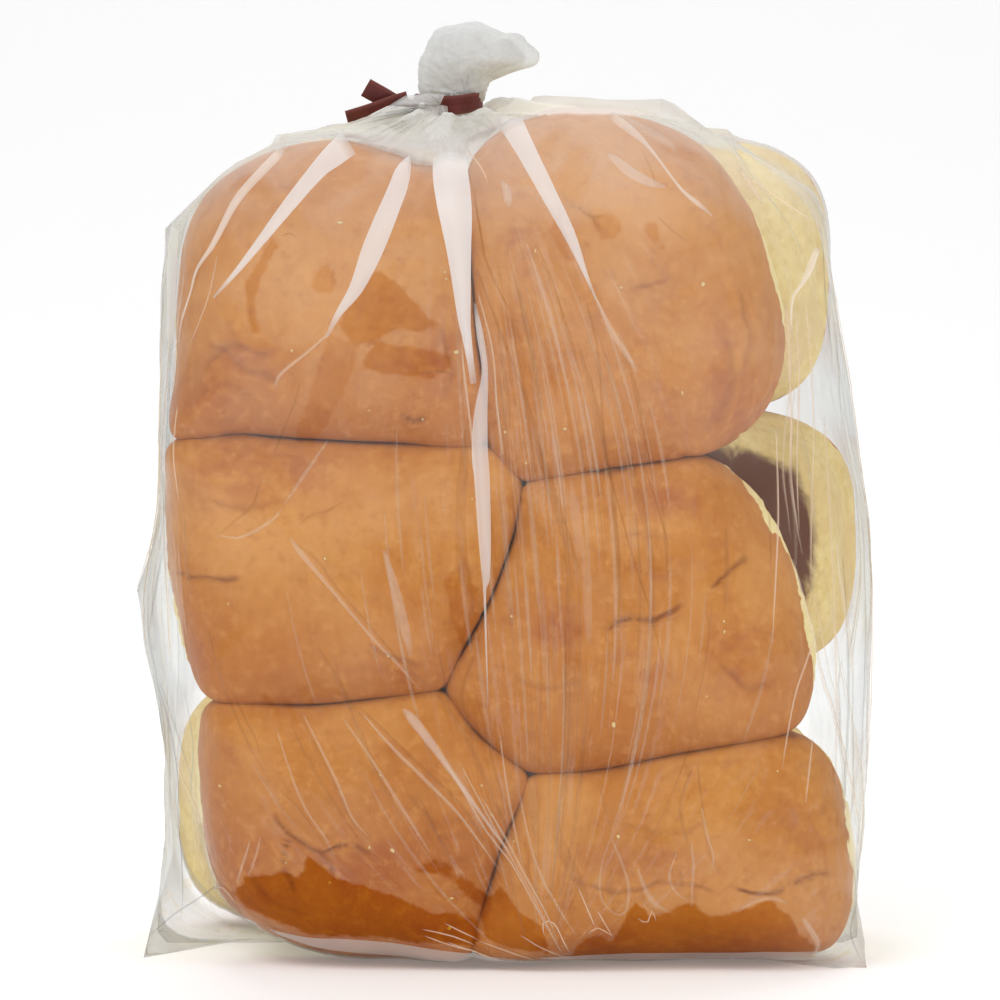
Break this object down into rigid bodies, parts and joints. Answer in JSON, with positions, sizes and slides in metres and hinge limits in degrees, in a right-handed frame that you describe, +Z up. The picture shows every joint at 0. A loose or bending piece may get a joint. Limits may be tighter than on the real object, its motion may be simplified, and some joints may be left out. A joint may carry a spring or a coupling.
{
  "type": "bag of dinner rolls",
  "caption": "Clear plastic bag packed tight with soft golden dinner rolls, gathered at the top and closed with a dark red paper twist tie. Stands on its own base.",
  "frame": {"origin": "middle of the base of the bag, on the surface that it stands on", "axes": "+Z up, -Y towards the shown side, +X to the right as seen from that side"},
  "size_m": [0.165, 0.1002, 0.2068],
  "materials": {
    "rolls": "soft baked crust, golden brown, satin",
    "film": "clear glossy wrinkled plastic film",
    "tie_paper": "satin dark red paper over a wire"
  },
  "bodies": {
    "root": {"bag_of_rolls": "rolls", "twist_tie": "tie_paper"}
  },
  "joints": []
}
